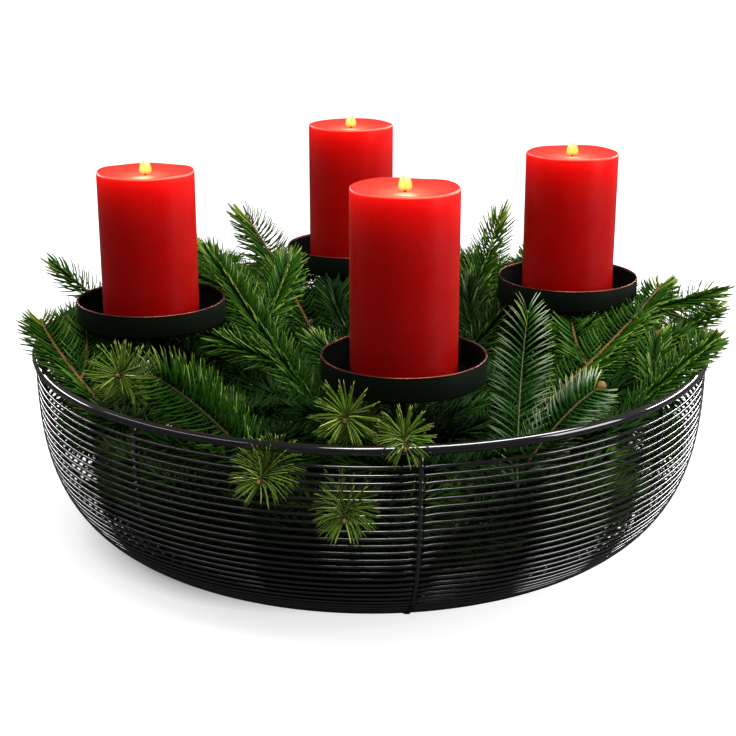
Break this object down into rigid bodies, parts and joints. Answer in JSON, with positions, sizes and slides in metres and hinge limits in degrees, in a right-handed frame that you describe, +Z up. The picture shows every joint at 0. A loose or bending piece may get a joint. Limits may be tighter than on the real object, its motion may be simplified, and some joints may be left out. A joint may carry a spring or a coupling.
{
  "type": "metal advent wreath",
  "caption": "Round black wire bowl filled with fir sprays, carrying red pillar candles in shallow cups on upright rods, for a table.",
  "frame": {"origin": "on the bowl's axis, on the surface that the foot ring stands on", "axes": "+Z up out of the bowl, -Y towards the side of the bowl that faced the camera"},
  "size_m": [0.4788, 0.4869, 0.2612],
  "materials": {
    "black_steel": "matte black powder coat",
    "red_wax": "satin through-dyed wax",
    "wick": "burnt braided cotton",
    "fir": "fresh fir needles on thin twigs"
  },
  "bodies": {
    "root": {"basket_frame": "black_steel", "basket_rim": "black_steel", "wire_01": "black_steel", "wire_02": "black_steel", "wire_03": "black_steel", "wire_04": "black_steel", "wire_05": "black_steel", "wire_06": "black_steel", "wire_07": "black_steel", "wire_08": "black_steel", "wire_09": "black_steel", "wire_10": "black_steel", "wire_11": "black_steel", "wire_12": "black_steel", "wire_13": "black_steel", "floor_wire_outer": "black_steel", "floor_wire_inner": "black_steel", "rod_front_back": "black_steel", "rod_left_right": "black_steel", "cup_left": "black_steel", "cup_right": "black_steel", "cup_front": "black_steel", "cup_back": "black_steel", "candle_left": "red_wax", "candle_right": "red_wax", "candle_front": "red_wax", "candle_back": "red_wax", "wick_left": "wick", "wick_right": "wick", "wick_front": "wick", "wick_back": "wick", "spray_left_far": "fir", "spray_left_back": "fir", "spray_left_star": "fir", "spray_left_front": "fir", "spray_left_inner": "fir", "spray_back_left": "fir", "spray_back_right": "fir", "spray_front_frond": "fir", "spray_right_high": "fir", "spray_right_far": "fir", "spray_right_low": "fir", "spray_right_bud": "fir", "spray_front_star": "fir", "spray_rim_star": "fir", "spray_wire_star_high": "fir", "spray_wire_star_low": "fir", "spray_middle_front": "fir", "spray_middle_back": "fir", "spray_middle_right": "fir", "spray_back_rim_left": "fir", "spray_back_rim": "fir", "spray_back_rim_right": "fir", "spray_inside_front_left": "fir", "spray_inside_front": "fir", "spray_inside_front_right": "fir", "spray_inside_right": "fir", "spray_inside_back": "fir", "spray_inside_left": "fir", "spray_inside_middle": "fir"}
  },
  "joints": []
}
